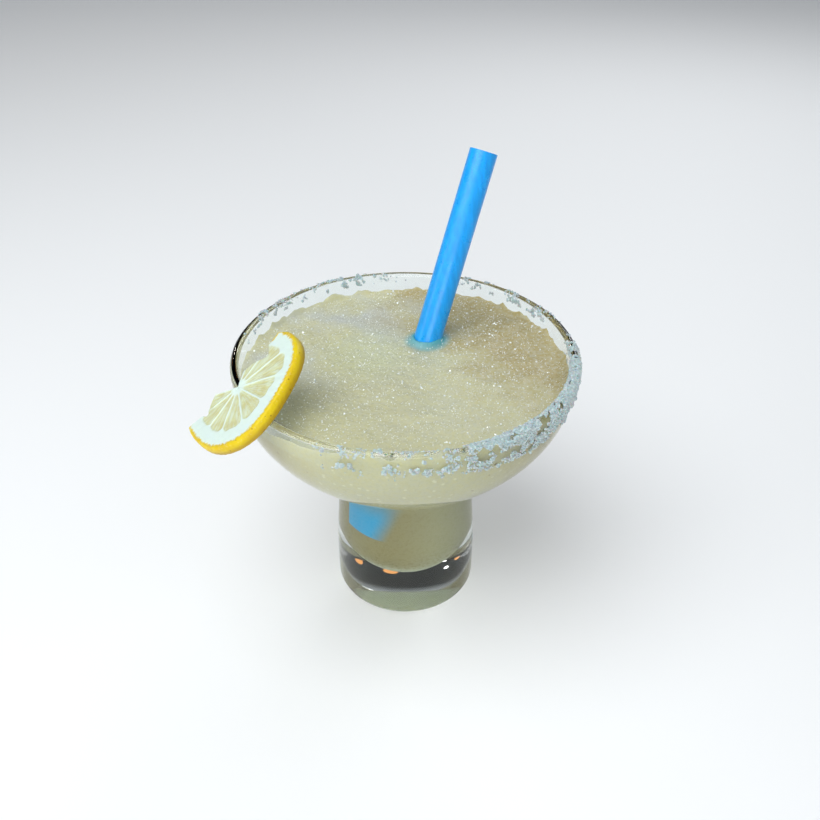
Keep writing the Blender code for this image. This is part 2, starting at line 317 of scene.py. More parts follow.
class Paint:
    """The nodes of a material or of the sky, with short ways to add more."""

    def __init__(self, owner, shader="Principled BSDF", space="Object"):
        owner.use_nodes = True
        self.owner = owner
        self.tree = owner.node_tree
        self.shader = self.tree.nodes[shader]
        self.place = self.add("ShaderNodeTexCoord", {})[space]

    def add(self, kind, inputs, **settings):
        """Add a node, set its properties, feed its inputs and return its outputs."""
        node = self.tree.nodes.new(kind)
        for key, value in settings.items():
            setattr(node, key, value)
        for key, source in inputs.items():
            self.feed(node.inputs[key], source)
        return node.outputs

    def feed(self, socket, source):
        """Put a value into a socket, or link it."""
        if isinstance(source, bpy.types.NodeSocket):
            self.tree.links.new(source, socket)
        elif socket.type == "RGBA":
            socket.default_value = (*source[:3], 1.0)
        else:
            socket.default_value = source

    def finished(self, **values):
        """Set the shader's sockets, named with underscores for spaces, and return the owner."""
        for key, value in values.items():
            self.feed(self.shader.inputs[key.replace("_", " ")], value)
        return self.owner

    def coordinate(self, axis):
        """Return one coordinate of a place."""
        return self.add("ShaderNodeSeparateXYZ", {0: self.place})[axis]

    def noise(self, size, detail=3.0, roughness=0.5, stretch=None):
        """Return a noise whose lumps measure about size millimetres."""
        place = self.place
        if stretch is not None:
            place = self.add("ShaderNodeMapping", {"Vector": place, "Scale": stretch})["Vector"]
        inputs = {"Vector": place, "Scale": 1.0 / (size * MM), "Detail": detail}
        inputs["Roughness"] = roughness
        return self.add("ShaderNodeTexNoise", inputs)["Fac"]

    def cells(self, size):
        """Return the distance from the middles of cells of about size millimetres."""
        inputs = {"Vector": self.place, "Scale": 1.0 / (size * MM)}
        return self.add("ShaderNodeTexVoronoi", inputs)["Distance"]

    def dots(self, size, low, high, strength=1.0):
        """Return spots in the middles of cells, which fade out from low to high."""
        return self.ramp(self.cells(size), low, high, strength, 0.0)

    def ramp(self, source, low, high, start=0.0, end=1.0):
        """Return a value that goes smoothly from start to end as source goes low to high."""
        inputs = {"Value": source, "From Min": low, "From Max": high}
        inputs.update({"To Min": start, "To Max": end})
        return self.add("ShaderNodeMapRange", inputs, interpolation_type="SMOOTHSTEP")["Result"]

    def maths(self, operation, first, second=0.0):
        """Return a sum, product or other result of two values."""
        return self.add("ShaderNodeMath", {0: first, 1: second}, operation=operation)[0]

    def product(self, first, *others):
        """Return the product of several values."""
        for other in others:
            first = self.maths("MULTIPLY", first, other)
        return first

    def blend(self, factor, first, second):
        """Return a colour between two colours."""
        return self.add("ShaderNodeMix", {0: factor, 6: first, 7: second}, data_type="RGBA")[2]

    def vector(self, operation, first, second=(0.0, 0.0, 0.0), output="Vector"):
        """Return the result of vector arithmetic."""
        inputs = {0: first, 1: second}
        return self.add("ShaderNodeVectorMath", inputs, operation=operation)[output]

    def relief(self, source, depth, distance, **after):
        """Bump the surface by a pattern, on top of an earlier bump given as Normal."""
        inputs = {"Height": source, "Strength": depth, "Distance": distance, **after}
        return self.add("ShaderNodeBump", inputs)["Normal"]

    def attribute(self, name):
        """Return the red, green and blue parts of a colour attribute."""
        colours = self.add("ShaderNodeAttribute", {}, attribute_name=name)["Color"]
        split = self.add("ShaderNodeSeparateColor", {"Color": colours})
        return split["Red"], split["Green"], split["Blue"]


def new_paint(name):
    """Return the nodes of a new material."""
    return Paint(bpy.data.materials.new(name))


# The glass

GLASS_STEPS = 160
UNDERSIDE_STEPS = 14
CORNER_STEPS = 6
FOOT_STEPS = 10
BOWL_STEPS = 40
LIP_STEPS = 10
WELL_STEPS = 18
INSIDE_STEPS = 44
NARROWING_POWER = 1.5
SHOULDER_DROP = 1.6 * MM
BELOW_NECK = 6.0 * MM
STEP = 0.1 * MM


def soft_larger(first, second, blend):
    """Return the larger of two radii, with a rounded change from one to the other."""
    return 0.5 * (first + second + math.sqrt((first - second) ** 2 + blend**2))


def bowl_curve(glass, height, bottom, narrow, wide):
    """Return the radius of a bowl that opens from narrow at bottom to wide at the rim."""
    share = min((height - bottom) / (glass.height - bottom), 1.0)
    return narrow + (wide - narrow) * (1.0 - (1.0 - share) ** glass.fullness)


def outer_radius(glass, height):
    """Return the outer radius of the glass at a height."""
    share = (height - glass.foot_straight) / (glass.neck_height - glass.foot_straight)
    narrowing = min(max(share, 0.0), 1.0) ** NARROWING_POWER
    foot = glass.foot_radius + (glass.neck_radius - glass.foot_radius) * narrowing
    bowl = bowl_curve(glass, height, glass.neck_height, glass.neck_radius, glass.rim_radius)
    return soft_larger(foot, bowl, glass.neck_blend)


def inner_radius(glass, height):
    """Return the inner radius of the glass above the round end of its well."""
    wide = glass.rim_radius - glass.rim_wall
    bowl = bowl_curve(glass, height, glass.inner_neck_height, glass.well_radius, wide)
    return soft_larger(glass.well_radius, bowl, glass.neck_blend)


def arc(centre, radius, start, end, steps):
    """Return points of (radius, height) along an arc, with angles in degrees."""
    points = []
    for step in range(steps + 1):
        angle = math.radians(start + (end - start) * step / steps)
        points.append((centre[0] + radius * math.cos(angle), centre[1] + radius * math.sin(angle)))
    return points


def spaced(low, high, steps):
    """Return evenly spaced numbers from low to high, both included."""
    return [low + (high - low) * step / steps for step in range(steps + 1)]


def inner_section(glass, out, top):
    """Return the inner wall from the well's floor to a height, moved out by a distance."""
    middle = glass.well_floor + glass.well_radius
    floor = arc((0.0, middle), glass.well_radius + out, -90.0, -4.0, WELL_STEPS)
    floor[0] = (0.0, glass.well_floor - out)
    wall = []
    for height in spaced(middle + 1.0 * MM, top, INSIDE_STEPS):
        rise = inner_radius(glass, height + STEP) - inner_radius(glass, height - STEP)
        sideways = out * math.sqrt(1.0 + (rise / (2.0 * STEP)) ** 2)
        wall.append((inner_radius(glass, height) + sideways, height))
    return floor + wall


def glass_section(glass):
    """Return the section of the glass, from its underside out, over the lip and in."""
    edge = glass.foot_edge
    underside = []
    for radius in spaced(0.0, glass.hollow_radius, UNDERSIDE_STEPS):
        share = radius / glass.hollow_radius
        underside.append((radius, glass.hollow * (1.0 - share**2)))
    underside.append((glass.foot_radius - edge, 0.0))
    corner = arc((glass.foot_radius - edge, edge), edge, -75.0, 0.0, CORNER_STEPS)
    shoulder = glass.height - SHOULDER_DROP
    heights = spaced(2.0 * edge, glass.neck_height - BELOW_NECK, FOOT_STEPS)
    heights += spaced(glass.neck_height - BELOW_NECK + 1.0 * MM, shoulder, BOWL_STEPS)
    outside = [(outer_radius(glass, height), height) for height in heights]
    half = 0.5 * glass.rim_wall
    lip = arc((glass.rim_radius - half, glass.height - half), half, 10.0, 170.0, LIP_STEPS)
    inside = inner_section(glass, 0.0, shoulder)
    return underside + corner + outside + lip + inside[::-1]


def glass_material(settings):
    """Return clear glass with faint smears."""
    paint = new_paint("clear_glass")
    smear = paint.noise(9.0, detail=4.0)
    rough = paint.ramp(smear, 0.45, 0.75, 0.0, 0.05)
    ripple = paint.relief(paint.noise(14.0, detail=1.0), 0.04, 0.3 * MM)
    return paint.finished(
        Base_Color=settings.tint, Roughness=rough, Transmission_Weight=1.0, IOR=1.5, Normal=ripple
    )


class MARGARITA_OT_glass(bpy.types.Operator):
    """Model the clear glass"""

    bl_idname = "margarita.glass"
    bl_label = "Glass"

    def execute(self, context):
        """Spin the glass from its section."""
        glass = context.scene.margarita_glass
        vessel = turned("glass_vessel", glass_section(glass), GLASS_STEPS)
        finish_piece(vessel, glass_material(glass), "clear_glass", "glass")
        vessel.visible_shadow = False
        return {"FINISHED"}


# The salt on the rim

SALT_SEED = 7
LUMP_CRYSTALS = 8
OUTER_CLUMPS = (
    (-108.4, 0.77), (-104.3, 0.72), (-95.9, 0.64), (-93.0, 0.68),
    (-86.7, 0.74), (-83.4, 0.76), (-79.4, 0.76), (-76.0, 0.72),
)
# Angles are in degrees, and drops and crystals in millimetres.
CLUMP_JITTER = 1.5
CLUMP_SPREAD = 0.1
CRUST_RISE = (-84.0, -58.0)
CRUST_FALL = (-10.0, 12.0)
UNDER_SLICE = (-165.0, -122.0)
LIP_SHARE = 0.4
LIP_LEAN = 80.0
INNER_DROP = 2.2
OUTER_DROP = 8.0
CRYSTAL_STRETCH = ((0.7, 1.3), (0.7, 1.3), (0.6, 1.1))
LUMP_CRYSTAL = (0.3, 0.7)
LOOSE_CRYSTAL = (0.22, 0.62)


def crust_amount(angle):
    """Return how far an angle round the rim lies on the thick crust, from 0 to 1."""
    return smooth_step(angle, *CRUST_RISE) * (1.0 - smooth_step(angle, *CRUST_FALL))


def salt_amount(angle):
    """Return how thickly the salt lies at an angle round the rim, from 0 to 1."""
    front = 0.2 * bump(angle, -91.0, 9.0) + 0.16 * bump(angle, -108.0, 6.0)
    right = 0.32 * bump(angle, 36.0, 10.0) + 0.5 * bump(angle, 60.0, 5.0)
    left = 0.28 * bump(angle, 152.0, 9.0) + 0.6 * bump(angle, 114.0, 12.0)
    return min(crust_amount(angle) + front + right + left, 1.0)


def rim_point(glass, across, angle):
    """Return a point on the rim and its outward direction.

    across runs from -1, low on the inner wall, over the lip at 0 to 1, low on the outer wall.
    """
    half = 0.5 * glass.rim_wall
    around = Matrix.Rotation(math.radians(angle), 3, "Z")
    if abs(across) < LIP_SHARE:
        lean = math.radians(90.0 - across / LIP_SHARE * LIP_LEAN)
        out = Vector((math.cos(lean), 0.0, math.sin(lean)))
        middle = Vector((glass.rim_radius - half, 0.0, glass.height - half))
        return around @ (middle + out * half), around @ out
    drop = (abs(across) - LIP_SHARE) / (1.0 - LIP_SHARE)
    if across < 0.0:
        height = glass.height - half - drop * INNER_DROP * MM
        wall = Vector((inner_radius(glass, height), 0.0, height))
    else:
        height = glass.height - half - drop * OUTER_DROP * MM
        wall = Vector((outer_radius(glass, height), 0.0, height))
    return around @ wall, around @ Vector((math.copysign(1.0, across), 0.0, 0.0))


def draw_place(draw):
    """Draw a place across the rim and an angle round it where salt lies, or nothing."""
    angle = draw.uniform(-180.0, 180.0)
    if UNDER_SLICE[0] < angle < UNDER_SLICE[1] or draw.random() > salt_amount(angle):
        return None
    if angle > CRUST_FALL[1]:
        return draw.uniform(-0.9, 0.3), angle
    if draw.random() < 0.5:
        return draw.uniform(-0.45, 0.45), angle
    return 0.35 + 0.65 * draw.random() ** 1.4, angle


def salt_lumps(glass, salt):
    """Return the place, outward direction and radius of each lump, the outer clumps first."""
    draw = random.Random(SALT_SEED)
    lumps = []
    for angle, across in OUTER_CLUMPS:
        for size in (salt.largest, 0.75 * salt.largest, salt.smallest, salt.smallest):
            beside = angle + draw.uniform(-CLUMP_JITTER, CLUMP_JITTER)
            nearby = across + draw.uniform(-CLUMP_SPREAD, CLUMP_SPREAD)
            lumps.append((*rim_point(glass, nearby, beside), size))
    while len(lumps) < salt.lumps:
        drawn = draw_place(draw)
        if drawn is None:
            continue
        share = len(lumps) / salt.lumps
        size = salt.largest + (salt.smallest - salt.largest) * share**0.7
        place, out = rim_point(glass, *drawn)
        if any((place - other).length < 0.55 * (size + reach) for other, _, reach in lumps):
            continue
        lumps.append((place, out, size))
    return lumps


def random_direction(draw):
    """Return a random direction."""
    return Vector([draw.gauss(0.0, 1.0) for _ in range(3)]).normalized()


def crystal_place(place, size, draw):
    """Return the matrix of one crystal with an uneven stretch and a random turn."""
    stretch = [size * draw.uniform(low, high) for low, high in CRYSTAL_STRETCH]
    axis = random_direction(draw)
    turn = Matrix.Rotation(draw.uniform(0.0, 2.0 * math.pi), 4, axis)
    return Matrix.Translation(place) @ turn @ Matrix.Diagonal((*stretch, 1.0))


def salt_places(glass, salt):
    """Return the matrices of all salt crystals, in lumps and loose between them."""
    draw = random.Random(SALT_SEED + 1)
    places = []
    for place, out, size in salt_lumps(glass, salt):
        middle = place + out * (0.2 * size)
        for _ in range(int(LUMP_CRYSTALS * (size / salt.smallest) ** 2)):
            away = random_direction(draw)
            if away.dot(out) < -0.25:
                away = away - 2.0 * away.dot(out) * out
            reach = size * draw.uniform(0.2, 1.0)
            width = draw.uniform(*LUMP_CRYSTAL) * MM
            places.append(crystal_place(middle + away * reach, width, draw))
    total = len(places) + salt.loose
    while len(places) < total:
        drawn = draw_place(draw)
        if drawn is None:
            continue
        across, angle = drawn
        place, out = rim_point(glass, across, angle)
        patch = noise.noise(place * 240.0) + 0.5 * noise.noise(place * 620.0)
        thick = crust_amount(angle)
        bare = 0.15 - 0.55 * thick + 0.75 * max(abs(across) - 0.45, 0.0) * thick
        if patch < bare:
            continue
        size = draw.uniform(*LOOSE_CRYSTAL) * MM
        heap = draw.random() ** 2 * 0.3 * thick * MM
        places.append(crystal_place(place + out * (0.2 * size + heap), size, draw))
    return places


def salt_material(salt):
    """Return damp, bluish white salt."""
    paint = new_paint("salt")
    wetter = tuple(0.84 * part for part in salt.tint)
    tint = paint.blend(paint.ramp(paint.noise(1.6), 0.35, 0.7), wetter, salt.tint)
    grain = paint.relief(paint.noise(0.35, detail=2.0), 0.5, 0.05 * MM)
    return paint.finished(
        Base_Color=tint,
        Roughness=paint.ramp(paint.noise(0.8), 0.3, 0.7, 0.12, 0.4),
        Subsurface_Weight=0.3,
        Subsurface_Scale=0.6 * MM,
        IOR=1.54,
        Normal=grain,
    )


class MARGARITA_OT_salt(bpy.types.Operator):
    """Scatter the salt on the rim of the glass"""

    bl_idname = "margarita.salt"
    bl_label = "Salt"

    def execute(self, context):
        """Copy one crystal along the rim, in lumps and loose."""
        glass = context.scene.margarita_glass
        salt = context.scene.margarita_salt
        crust = joined_crystals("rim_salt", salt_places(glass, salt))
        finish_piece(crust, salt_material(salt), "salt", "glass", angle=20.0)
        return {"FINISHED"}


# The frozen drink

TOP_RINGS = 110
DRINK_STEPS = 260
CLING_SHARES = (1.0, 0.6, 0.2)
COLLAR_HEIGHT = 1.9 * MM
COLLAR_AWAY = 4.6 * MM
COLLAR_WIDTH = 1.1 * MM
SLICE_AZIMUTH = -146.0
ICE_SEED = 21
ICE_REACH = 0.985
STRAW_CLEAR = 5.4 * MM
FLAKE_SIZES = (0.32, 0.58)
GRAIN_SIZES = (0.12, 0.25)
BACK_LEFT = (-0.62, 0.78, 0.0)
BACK_RIGHT = (0.84, 0.54, 0.0)
GREEN_PLACE = (-0.012, 0.008, 0.092)
GREEN_TONE = tone(184, 192, 150)
BUBBLE_TONE = tone(222, 222, 198)
SPECK_TONE = tone(120, 84, 40)
# Painted shade at the bowl's left and right edges.
SIDE_SHADE_TONE = tone(178, 164, 104)
# Painted light: the blue of the straw seen through the slush round it.
STRAW_LIGHT_TONE = tone(60, 160, 178)
# Painted light: the blue of the straw seen through the drink in the foot.
STRAW_VIEW_TONE = tone(40, 160, 205)


def broad_lift(drink, x, y):
    """Return how far the drink's top stands above its level at a place."""
    away = math.hypot(x, y) / RIM_GUIDE
    wave = math.sin(95.0 * x + 1.0) * math.cos(120.0 * y) + 0.6 * math.sin(210.0 * (x + y))
    return drink.mound * (1.0 - away**2) + drink.wave * wave * (1.0 - away**4)


def straw_distance(drink, x, y):
    """Return how far a place on the drink is from the straw's middle line."""
    from_entry = Vector((x, y, drink.level)) - STRAW_ENTRY
    return from_entry.cross(STRAW_LEAN.normalized()).length


def slush_relief(drink, x, y, edge):
    """Return the height of the slush's top above its level, with its grainy lumps."""
    place = Vector((x, y, 0.0))
    away = math.hypot(x, y)
    lumps = noise.fractal(place * 160.0, 0.9, 2.1, 4) * 0.42 * MM
    grains = noise.noise(place * 1100.0) * 0.16 * MM
    climb = 0.0
    if away > 0.9 * edge:
        climb = smooth_step(away, 0.93 * edge, edge) * (0.5 + 0.9 * noise.noise(place * 55.0)) * MM
    near = straw_distance(drink, x, y)
    collar = COLLAR_HEIGHT * math.exp(-((near - COLLAR_AWAY) / COLLAR_WIDTH) ** 2)
    return broad_lift(drink, x, y) + lumps + grains + climb + collar


def clinging(drink, x, y):
    """Return how far slush clings up the wall beside a place."""
    place = Vector((x, y, 0.0)).normalized()
    ragged = noise.noise(place * 7.0) + 0.7 * noise.noise(place * 19.0 + Vector((4.0, 0.0, 0.0)))
    coated = smooth_step(-place.y, -0.15, 0.45) * (1.7 + 0.4 * ragged)
    beside_slice = bump(math.degrees(math.atan2(y, x)), SLICE_AZIMUTH, 24.0)
    return drink.residue * max(coated, min(max(ragged + 0.12, 0.0), 1.0)) * (1.0 - beside_slice)


def raise_top(glass, drink, point, edge):
    """Return a place on the flat top of the drink moved to the slush's uneven surface."""
    x, y, height = point
    away = math.hypot(x, y)
    height += slush_relief(drink, x, y, edge)
    inward = (edge - away) / (edge / TOP_RINGS)
    if inward <= len(CLING_SHARES) - 0.5:
        height += clinging(drink, x, y) * CLING_SHARES[round(inward)]
    out = 1.0
    if inward < 0.5:
        out = (inner_radius(glass, height) + drink.into_wall) / away
    return Vector((x * out, y * out, height))


def drink_section(glass, drink):
    """Return the section of the drink, up the wall and in over its top."""
    wall = inner_section(glass, drink.into_wall, drink.level)
    edge = wall[-1][0]
    top = [(edge * (1.0 - ring / TOP_RINGS), drink.level) for ring in range(1, TOP_RINGS + 1)]
    return wall + top


def top_tint(paint, drink):
    """Return the slush's own colours: frosty patches, deeper right side and a green spot."""
    patches = paint.ramp(paint.noise(26.0), 0.42, 0.66)
    to_left = paint.vector("DOT_PRODUCT", paint.place, BACK_LEFT, "Value")
    frosty = paint.product(patches, paint.ramp(to_left, -10.0 * MM, 40.0 * MM, 0.15, 1.0))
    tint = paint.blend(frosty, drink.slush, drink.frost)
    to_right = paint.vector("DOT_PRODUCT", paint.place, BACK_RIGHT, "Value")
    shift = paint.ramp(paint.noise(18.0), 0.3, 0.7, -9.0 * MM, 9.0 * MM)
    wetter = paint.ramp(paint.maths("ADD", to_right, shift), 4.0 * MM, 38.0 * MM)
    tint = paint.blend(wetter, tint, drink.deep)
    from_green = paint.vector("DISTANCE", paint.place, GREEN_PLACE, "Value")
    tint = paint.blend(paint.ramp(from_green, 4.0 * MM, 24.0 * MM, 0.4, 0.0), tint, GREEN_TONE)
    speckle = paint.ramp(paint.noise(1.3, detail=2.0), 0.35, 0.7, 0.0, 0.35)
    return paint.blend(speckle, tint, drink.frost)


def below_level(paint, strength):
    """Return where the drink is seen through the glass, below the slush's top."""
    return paint.ramp(paint.coordinate("Z"), 89.0 * MM, 91.0 * MM, strength, 0.0)


def side_tint(paint, tint):
    """Add bubbles, brown specks and painted shade, a deeper colour towards the bowl's left and
    right edges.
    """
    seen = below_level(paint, 0.6)
    tint = paint.blend(paint.product(paint.dots(2.6, 0.14, 0.24), seen), tint, BUBBLE_TONE)
    tint = paint.blend(paint.product(paint.dots(5.2, 0.06, 0.1), seen), tint, SPECK_TONE)
    # Painted shade: a deeper colour towards the bowl's left and right edges, below the slush's
    # top.
    beside = paint.ramp(paint.maths("ABSOLUTE", paint.coordinate("X")), 16.0 * MM, 46.0 * MM)
    return paint.blend(paint.product(beside, below_level(paint, 0.55)), tint, SIDE_SHADE_TONE)


def foot_tint(paint, drink, tint):
    """Add painted shade in the foot, where the drink lies in shadow: darker there and lighter
    towards the right, with painted light at the well's end, where it is lit from below.
    """
    height = paint.coordinate("Z")
    # Painted shade: darker drink in the foot, lighter towards the right.
    rightward = paint.ramp(paint.coordinate("X"), -6.0 * MM, 18.0 * MM)
    foot_shading = paint.blend(rightward, drink.foot_shading, drink.foot_shading_right)
    # Painted light: paler drink at the well's end, lit from below.
    foot_shading = paint.blend(paint.ramp(height, 12.0 * MM, 19.0 * MM, 0.9, 0.0), foot_shading, drink.bottom)
    return paint.blend(paint.ramp(height, 42.0 * MM, 62.0 * MM, 1.0, 0.0), tint, foot_shading)


def painted_straw_light(paint, straw):
    """Return where painted light from the blue straw, seen through the slush, tints the slush
    round it.
    """
    from_entry = paint.vector("SUBTRACT", paint.place, tuple(STRAW_ENTRY))
    across = paint.vector("CROSS_PRODUCT", from_entry, tuple(STRAW_LEAN.normalized()))
    away = paint.vector("LENGTH", across, output="Value")
    near = paint.ramp(away, straw.radius, straw.radius + 4.0 * MM, 0.95, 0.0)
    return paint.product(near, paint.ramp(paint.coordinate("Z"), 80.0 * MM, 86.0 * MM))


def painted_straw_view(paint, straw):
    """Return where the straw is painted on the drink in the foot, close to the glass: painted
    light that stands in for the straw seen through the drink.
    """
    around = paint.maths("ARCTAN2", paint.coordinate("Y"), paint.coordinate("X"))
    above = paint.maths("SUBTRACT", paint.coordinate("Z"), straw.foot)
    soft_edge = paint.maths("ADD", paint.maths("MULTIPLY", above, 22.0), math.radians(-120.0))
    past = paint.maths("SUBTRACT", around, soft_edge)
    return paint.product(
        paint.ramp(around, math.radians(-160.5), math.radians(-158.5)),
        paint.ramp(past, math.radians(-12.0), math.radians(14.0), 1.0, 0.0),
        paint.ramp(above, -1.6 * MM, -0.8 * MM),
        paint.ramp(above, 6.0 * MM, 22.0 * MM, 1.0, 0.0),
    )


def slush_material(drink, straw):
    """Return wet slush, with painted shade darkening it in the foot and painted light from the
    blue straw seen through it.
    """
    paint = new_paint("slush")
    tint = foot_tint(paint, drink, side_tint(paint, top_tint(paint, drink)))
    # Painted light: the slush round the straw tinted blue, as if the straw showed through it.
    tint = paint.blend(painted_straw_light(paint, straw), tint, STRAW_LIGHT_TONE)
    # Painted light: the straw's blue painted on the drink in the foot, in place of the straw seen
    # through it.
    tint = paint.blend(painted_straw_view(paint, straw), tint, STRAW_VIEW_TONE)
    fine = paint.relief(paint.noise(0.45, roughness=0.6), 0.4, 0.12 * MM)
    grain = paint.relief(paint.cells(1.0), 0.25, 0.15 * MM, Normal=fine)
    return paint.finished(
        Base_Color=tint,
        Roughness=paint.ramp(paint.noise(0.9), 0.3, 0.7, 0.18, 0.5),
        Subsurface_Weight=0.5,
        Subsurface_Radius=(1.0, 0.95, 0.65),
        Subsurface_Scale=2.0 * MM,
        IOR=1.33,
        Normal=grain,
    )


def ice_material(drink):
    """Return bright wet ice."""
    paint = new_paint("ice")
    return paint.finished(Base_Color=drink.ice, Roughness=0.06, IOR=1.5, Coat_Weight=1.0)


def ice_places(glass, drink):
    """Return the matrices of the ice crystals that lie on top of the drink."""
    draw = random.Random(ICE_SEED)
    edge = inner_radius(glass, drink.level)
    places = []
    while len(places) < drink.crystals:
        away = edge * math.sqrt(draw.random()) * ICE_REACH
        angle = draw.uniform(0.0, 2.0 * math.pi)
        x = away * math.cos(angle)
        y = away * math.sin(angle)
        if straw_distance(drink, x, y) < STRAW_CLEAR:
            continue
        sizes = FLAKE_SIZES if len(places) < drink.flakes else GRAIN_SIZES
        size = draw.uniform(*sizes) * MM
        height = drink.level + slush_relief(drink, x, y, edge) + 0.15 * size
        places.append(crystal_place(Vector((x, y, height)), size, draw))
    return places


class MARGARITA_OT_drink(bpy.types.Operator):
    """Model the frozen drink and the ice crystals on top of it"""

    bl_idname = "margarita.drink"
    bl_label = "Drink"

    def execute(self, context):
        """Spin the drink, lump its top and scatter the ice."""
        glass = context.scene.margarita_glass
        drink = context.scene.margarita_drink
        straw = context.scene.margarita_straw
        slush = turned("slush", drink_section(glass, drink), DRINK_STEPS)
        edge = inner_radius(glass, drink.level) + drink.into_wall
        for vert in slush.data.vertices:
            if vert.co.z > drink.level - 0.01 * MM:
                vert.co = raise_top(glass, drink, vert.co, edge)
        finish_piece(slush, slush_material(drink, straw), "frozen_slush", "drink", angle=80.0)
        sparkle = joined_crystals("ice_crystals", ice_places(glass, drink))
        finish_piece(sparkle, ice_material(drink), "frozen_slush", "drink", angle=20.0)
        return {"FINISHED"}


# The straw

STRAW_SIDES = 96
SOFT_EDGE = 0.1 * MM


def straw_material(straw):
    """Return satin blue plastic with faint streaks along it."""
    paint = new_paint("blue_plastic")
    streaks = paint.noise(1.4, detail=2.0, stretch=(1.0, 1.0, 0.06))
    deep = tuple(0.86 * part for part in straw.plastic)
    return paint.finished(
        Base_Color=paint.blend(paint.ramp(streaks, 0.35, 0.65), deep, straw.plastic),
        Roughness=paint.ramp(paint.noise(5.0), 0.3, 0.7, 0.26, 0.36),
        Subsurface_Weight=0.15,
        Subsurface_Scale=1.0 * MM,
        IOR=1.49,
        Normal=paint.relief(streaks, 0.06, 0.2 * MM),
    )


class MARGARITA_OT_straw(bpy.types.Operator):
    """Model the hollow straw"""

    bl_idname = "margarita.straw"
    bl_label = "Straw"

    def execute(self, context):
        """Add a thin tube, thicken its wall and lean it in the drink."""
        straw = context.scene.margarita_straw
        start = STRAW_ENTRY + STRAW_LEAN * (straw.foot - STRAW_ENTRY.z)
        end = STRAW_ENTRY + STRAW_LEAN * (straw.top - STRAW_ENTRY.z)
        deselect_all()
        bpy.ops.mesh.primitive_cylinder_add(
            vertices=STRAW_SIDES,
            radius=straw.radius,
            depth=(end - start).length,
            end_fill_type="NOTHING",
        )
        tube = start_piece("straw_tube")
        wall = tube.modifiers.new("wall", "SOLIDIFY")
        wall.thickness = straw.wall
        wall.offset = -1.0
        soft = tube.modifiers.new("soft ends", "BEVEL")
        soft.width = SOFT_EDGE
        soft.segments = 2
        soft.limit_method = "ANGLE"
        apply_all(tube)
        lean = STRAW_LEAN.to_track_quat("Z", "Y").to_matrix().to_4x4()
        place_in_mesh(tube, Matrix.Translation((start + end) / 2.0) @ lean)
        finish_piece(tube, straw_material(straw), "blue_plastic", "straw")
        return {"FINISHED"}


# The lemon slice

SLICE_HUB = Vector((-51.15, -23.5, 99.8)) * MM
SLICE_FACE = Vector((-0.606, -0.176, 0.776))
SLIT_ALONG = Vector((0.383, -0.919, 0.091))
SLICE_START = -104.0
SLICE_END = 106.0
TORN_SHARE = 0.142
SEGMENT_ANGLE = 30.0
SEGMENT_LENGTH = 22.6
SLICE_ACROSS = 432
SLICE_ROUND = 120
FRONT_SHARE = 0.44
ZEST_SHARE = 0.955
RIM_STEPS = 200
RIM_GAP = 0.45 * MM
BLOTCH_TONE = tone(192, 184, 126)
MOTTLE_TONE = tone(210, 172, 10)
# Painted shade on the rind towards the slice's underside.
UNDER_SHADE_TONE = tone(186, 152, 14)
SCAR_TONE = tone(140, 98, 26)


def slice_axes():
    """Return the slice's directions: across the slit inward, along the slit, out of its face."""
    face = SLICE_FACE.normalized()
    along = (SLIT_ALONG - face * SLIT_ALONG.dot(face)).normalized()
    across = face.cross(along).normalized()
    return across, along, face


def slice_radius(lemon, angle):
    """Return the slice's radius at an angle from the slit, a little out of round."""
    swell = 0.088 * bump(angle, 66.0, 26.0) + 0.062 * bump(angle, -12.0, 28.0)
    flat = 0.07 * bump(angle, -78.0, 26.0)
    return lemon.radius * (1.0 + swell - flat)


def slice_angle(turn, share):
    """Return the angle at a turn from 0 to 1 along the slice, ragged along the cut."""
    plain = SLICE_START + (SLICE_END - SLICE_START) * turn
    ragged = 2.4 * noise.noise(Vector((9.0 * share, 4.0, 0.0))) * smooth_step(share, 0.1, 0.3)
    fine = 1.4 * noise.noise(Vector((30.0 * share, 8.0, 0.0))) * smooth_step(share, 0.1, 0.3)
    low_dent = 4.0 * math.exp(-(((share - 0.64) / 0.06) ** 2))
    start_torn = low_dent - 30.0 * (1.0 - smooth_step(share, 0.47, 0.6)) + ragged + fine
    tip_dent = 13.0 * math.exp(-(((share - 0.55) / 0.09) ** 2))
    tip_corner = 12.0 * smooth_step(share, 0.9, 1.0)
    end_torn = 36.0 * (1.0 - smooth_step(share, 0.2, 0.5)) - tip_dent - tip_corner - ragged + fine
    from_start = max(0.0, 1.0 - turn / TORN_SHARE)
    from_end = max(0.0, 1.0 - (1.0 - turn) / TORN_SHARE)
    return plain + start_torn * from_start + end_torn * from_end


def section_place(share_round):
    """Return (share of the radius, depth from 0 to 1) at a place round the slice's section."""
    if share_round < FRONT_SHARE:
        return ZEST_SHARE * share_round / FRONT_SHARE, 0.0
    if share_round > 1.0 - FRONT_SHARE:
        return ZEST_SHARE * (1.0 - share_round) / FRONT_SHARE, 1.0
    lean = math.pi * (0.5 - (share_round - FRONT_SHARE) / (1.0 - 2.0 * FRONT_SHARE))
    bulge = max(math.cos(lean), 0.0) ** 0.7
    return ZEST_SHARE + (1.0 - ZEST_SHARE) * bulge, 0.5 - 0.5 * math.sin(lean)


